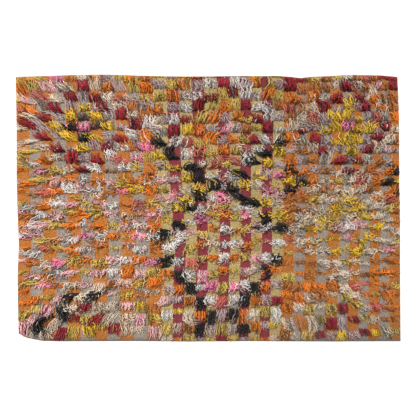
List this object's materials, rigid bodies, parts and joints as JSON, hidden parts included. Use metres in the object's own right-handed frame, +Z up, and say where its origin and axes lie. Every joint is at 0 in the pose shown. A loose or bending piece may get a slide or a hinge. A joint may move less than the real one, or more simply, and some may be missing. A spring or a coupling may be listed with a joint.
{
  "type": "tulu rug",
  "caption": "Rectangular flat-woven wool rug with rows of long shaggy pile locks knotted through it, lying flat.",
  "frame": {"origin": "on the surface the rug lies on, at the middle of its bounding box", "axes": "+X along the long sides, +Y from the near long edge to the far one across the rug, +Z up out of the pile"},
  "size_m": [1.953, 1.3638, 0.0407],
  "materials": {
    "wool": "matt dyed wool, long pile"
  },
  "bodies": {
    "root": {"tulu_rug": "wool"}
  },
  "joints": []
}
